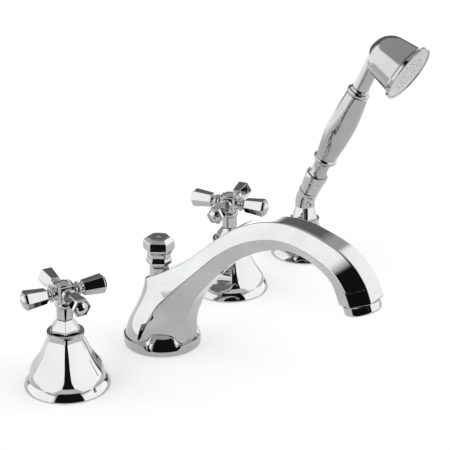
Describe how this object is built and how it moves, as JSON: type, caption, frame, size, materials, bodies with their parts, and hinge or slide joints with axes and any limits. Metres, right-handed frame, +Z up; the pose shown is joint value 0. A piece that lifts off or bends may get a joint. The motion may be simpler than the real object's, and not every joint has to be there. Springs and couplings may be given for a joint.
{
  "type": "deck-mounted bath mixer with hand shower",
  "caption": "Deck-mounted bath filler with arched hexagonal spout, cross-handle valves, pull-up diverter and a hand shower resting in a leaning holder.",
  "frame": {"origin": "middle of the spout's foot, in the plane of the deck's top face", "axes": "+Z up from the deck; the spout reaches along -Y; the cold valve and the hand shower stand along +X, the hot valve along -X"},
  "size_m": [0.3861, 0.2537, 0.3205],
  "materials": {
    "chrome_plate": "polished chrome plate on brass",
    "brass_plain": "turned, unplated",
    "rubber_black": "moulded, matt",
    "ceramic_white": null,
    "plastic_light": "moulded, fine matt",
    "steel_plain": "stainless, satin"
  },
  "bodies": {
    "deck_fixed": {"spout_body": "chrome_plate", "spout_deck_seal": "rubber_black", "spout_shank": "brass_plain", "spout_clamp_washer": "steel_plain", "spout_backnut": "brass_plain", "mixing_tee": "brass_plain", "aerator_housing": "chrome_plate", "aerator_insert": "plastic_light", "diverter_guide": "chrome_plate", "hot_bell_cover": "chrome_plate", "hot_deck_seal": "rubber_black", "hot_valve_body": "brass_plain", "hot_outlet_nipple": "brass_plain", "hot_clamp_washer": "steel_plain", "hot_backnut": "brass_plain", "hot_seat_ring": "rubber_black", "hot_fixed_disc": "ceramic_white", "hot_headwork": "brass_plain", "hot_bonnet_nut": "chrome_plate", "cold_bell_cover": "chrome_plate", "cold_deck_seal": "rubber_black", "cold_valve_body": "brass_plain", "cold_outlet_nipple": "brass_plain", "cold_clamp_washer": "steel_plain", "cold_backnut": "brass_plain", "cold_seat_ring": "rubber_black", "cold_fixed_disc": "ceramic_white", "cold_headwork": "brass_plain", "cold_bonnet_nut": "chrome_plate", "shower_bell_cover": "chrome_plate", "shower_deck_seal": "rubber_black", "shower_shank": "brass_plain", "shower_clamp_washer": "steel_plain", "shower_backnut": "brass_plain", "holder_dome": "chrome_plate", "holder_socket": "chrome_plate", "holder_grub_screw": "chrome_plate", "holder_liner": "plastic_light"},
    "hot_handle": {"hot_turning_disc": "ceramic_white", "hot_spindle": "brass_plain", "hot_handle_hub": "chrome_plate", "hot_handle_arms": "chrome_plate", "hot_handle_screw": "steel_plain", "hot_index_button": "chrome_plate"},
    "cold_handle": {"cold_turning_disc": "ceramic_white", "cold_spindle": "brass_plain", "cold_handle_hub": "chrome_plate", "cold_handle_arms": "chrome_plate", "cold_handle_screw": "steel_plain", "cold_index_button": "chrome_plate"},
    "diverter": {"diverter_knob": "chrome_plate", "diverter_rod": "steel_plain", "diverter_plunger": "brass_plain", "diverter_seal": "rubber_black"},
    "nut": {"hose_nut": "chrome_plate"},
    "hand_shower": {"handset_connector": "chrome_plate", "handset_grip": "chrome_plate", "handset_top_ring": "chrome_plate", "handset_head": "chrome_plate", "spray_face": "chrome_plate"}
  },
  "joints": [
    {"name": "hot_handle_turn", "type": "hinge", "parent": "deck_fixed", "child": "hot_handle", "pos_m": [-0.103, 0.015, 0.08], "axis": [0, 0, 1], "range_deg": [0, 90]},
    {"name": "cold_handle_turn", "type": "hinge", "parent": "deck_fixed", "child": "cold_handle", "pos_m": [0.116, 0.015, 0.08], "axis": [0, 0, 1], "range_deg": [-90, 0]},
    {"name": "diverter_lift", "type": "slide", "parent": "deck_fixed", "child": "diverter", "axis": [0, 0, 1], "range_m": [0, 0.008]},
    {"name": "handset_lift", "type": "slide", "parent": "deck_fixed", "child": "nut", "axis": [0, -0.4242, 0.9056], "range_m": [0, 0.06]},
    {"name": "handset_turn", "type": "hinge", "parent": "nut", "child": "hand_shower", "pos_m": [0.218, 0.003, 0.052], "axis": [0, -0.4242, 0.9056], "continuous": true}
  ]
}
